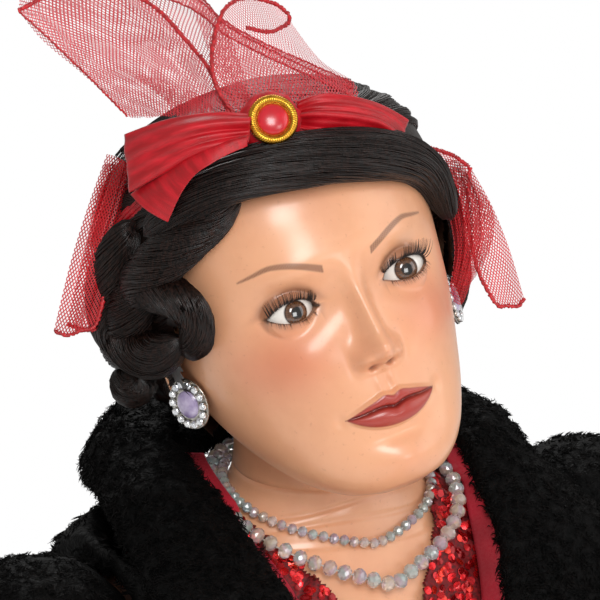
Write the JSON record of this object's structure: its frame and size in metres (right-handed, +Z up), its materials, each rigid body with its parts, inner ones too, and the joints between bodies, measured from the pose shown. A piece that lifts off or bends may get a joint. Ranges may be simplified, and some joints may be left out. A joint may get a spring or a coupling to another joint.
{
  "type": "sitting doll",
  "caption": "Large sitting doll with a stuffed body, glossy painted head, wig, net fascinator, bead necklaces, sequined dress and plush coat.",
  "frame": {"origin": "on the surface it sits on, at the middle of the body's width, under the neck's axis", "axes": "+Z up, the doll faces -Y, +X toward its left arm"},
  "size_m": [0.556, 0.9021, 0.7802],
  "materials": {
    "skin": "painted composition, soft gloss",
    "cloth": "unbleached cotton, matte",
    "wood": "raw plywood",
    "steel": "zinc plated",
    "eye": "polished",
    "lash": "matte fibre",
    "hair": "glossy fibre",
    "satin": "satin sheen",
    "net": "sheer",
    "gold": "polished",
    "red_stone": "polished",
    "silver": "polished",
    "lilac_stone": "polished",
    "crystal": "polished, iridescent coating",
    "sequin": "metallic sequins",
    "fur": "curly pile",
    "velvet": "short pile",
    "shoe": "polished",
    "sole": "waxed"
  },
  "bodies": {
    "body": {"seat_board": "wood", "torso": "cloth", "shoulder_plate": "skin", "neck_bolt": "steel", "bodice": "sequin", "skirt": "sequin", "necklace_long": "crystal", "necklace_short": "crystal", "coat": "fur", "collar": "fur", "facing_left": "velvet", "thigh_left": "cloth", "facing_right": "velvet", "thigh_right": "cloth"},
    "head": {"head": "skin", "wig_cap": "hair", "front_roll": "hair", "wave_left": "hair", "wave_right": "hair", "curl_right": "hair", "back_roll": "hair", "hat_band": "satin", "bow_knot": "satin", "bow_left": "satin", "bow_right": "satin", "net_upper_right": "net", "net_upper_left": "net", "net_side_right": "net", "net_side_left": "net", "brooch_bezel": "gold", "brooch_stone": "red_stone", "eye_left": "eye", "lash_left": "lash", "earring_setting_left": "silver", "earring_stone_left": "lilac_stone", "eye_right": "eye", "lash_right": "lash", "earring_setting_right": "silver", "earring_stone_right": "lilac_stone"},
    "upper_arm_left": {"sleeve_upper_left": "fur", "arm_upper_left": "cloth"},
    "forearm_left": {"sleeve_lower_left": "fur", "arm_lower_left": "cloth", "hand_left": "skin"},
    "lower_leg_left": {"leg_left": "skin", "shoe_left": "shoe", "sole_left": "sole"},
    "upper_arm_right": {"sleeve_upper_right": "fur", "arm_upper_right": "cloth"},
    "forearm_right": {"sleeve_lower_right": "fur", "arm_lower_right": "cloth", "hand_right": "skin"},
    "lower_leg_right": {"leg_right": "skin", "shoe_right": "shoe", "sole_right": "sole"}
  },
  "joints": [
    {"name": "neck_turn", "type": "hinge", "parent": "body", "child": "head", "pos_m": [0, 0, 0.544], "axis": [0, 0, 1], "range_deg": [-25, 25]},
    {"name": "shoulder_left", "type": "hinge", "parent": "body", "child": "upper_arm_left", "pos_m": [0.163, 0.005, 0.424], "axis": [-1, 0, 0], "range_deg": [0, 50]},
    {"name": "elbow_left", "type": "hinge", "parent": "upper_arm_left", "child": "forearm_left", "pos_m": [0.232, -0.05, 0.25], "axis": [-1, 0, 0], "range_deg": [0, 30]},
    {"name": "knee_left", "type": "hinge", "parent": "body", "child": "lower_leg_left", "pos_m": [0.072, -0.345, 0.06], "axis": [1, 0, 0], "range_deg": [0, 80]},
    {"name": "shoulder_right", "type": "hinge", "parent": "body", "child": "upper_arm_right", "pos_m": [-0.163, 0.005, 0.424], "axis": [-1, 0, 0], "range_deg": [0, 50]},
    {"name": "elbow_right", "type": "hinge", "parent": "upper_arm_right", "child": "forearm_right", "pos_m": [-0.232, -0.05, 0.25], "axis": [-1, 0, 0], "range_deg": [0, 30]},
    {"name": "knee_right", "type": "hinge", "parent": "body", "child": "lower_leg_right", "pos_m": [-0.072, -0.345, 0.06], "axis": [1, 0, 0], "range_deg": [0, 80]}
  ]
}
